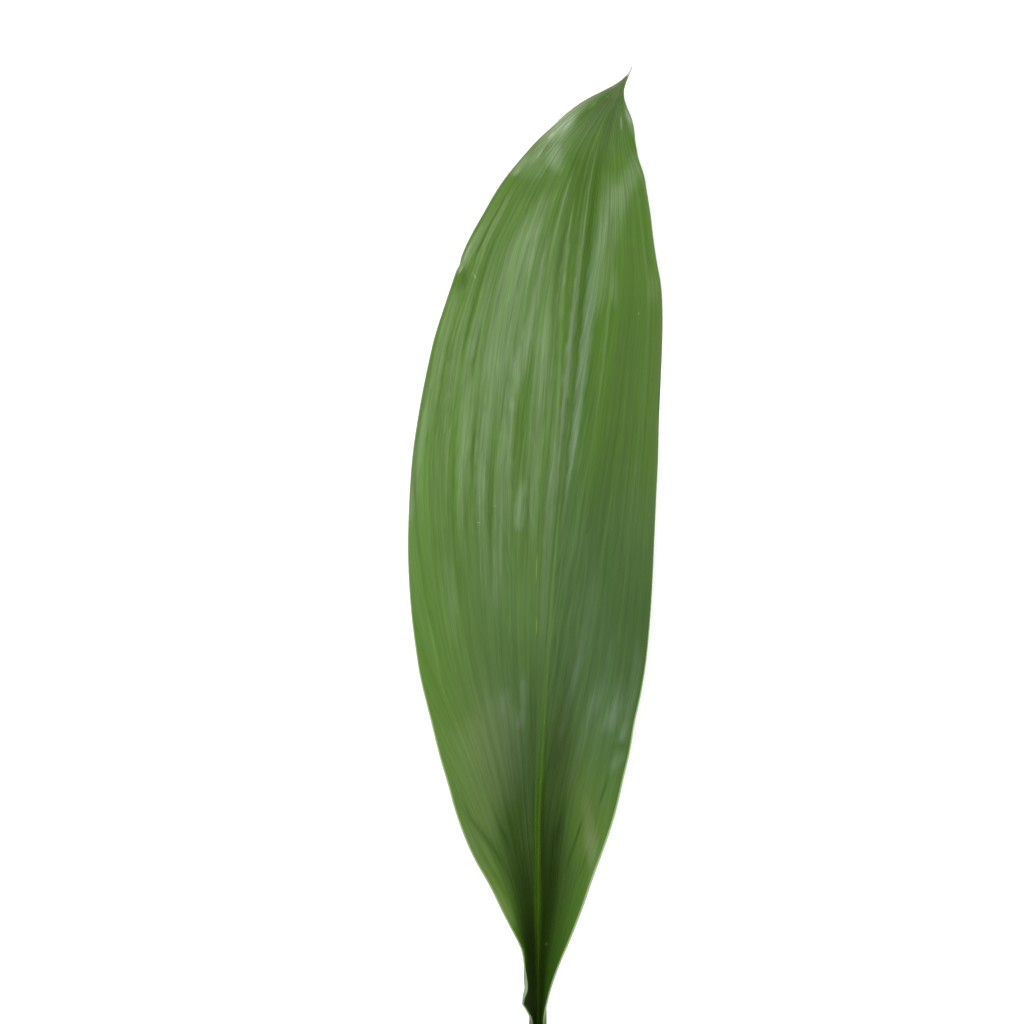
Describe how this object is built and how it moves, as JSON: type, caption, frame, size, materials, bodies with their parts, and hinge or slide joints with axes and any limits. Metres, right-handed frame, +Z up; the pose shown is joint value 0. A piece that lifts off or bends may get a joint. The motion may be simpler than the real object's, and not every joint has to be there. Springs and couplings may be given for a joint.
{
  "type": "aspidistra leaf",
  "caption": "Cut aspidistra leaf lying upper side up: a long pointed, pleated blade with a channelled base, arched over its drooping margins, on a slim grooved stalk.",
  "frame": {"origin": "middle of the leaf's bounding box, on the level surface it lies on", "axes": "+Y along the leaf from the stalk's cut end to the tip, +Z up out of the blade's upper side, +X to the right of the midrib seen from above"},
  "size_m": [0.115, 0.5938, 0.041],
  "materials": {
    "leaf_green": "leathery deep green leaf surface with a soft gloss"
  },
  "bodies": {
    "root": {"leaf": "leaf_green"}
  },
  "joints": []
}
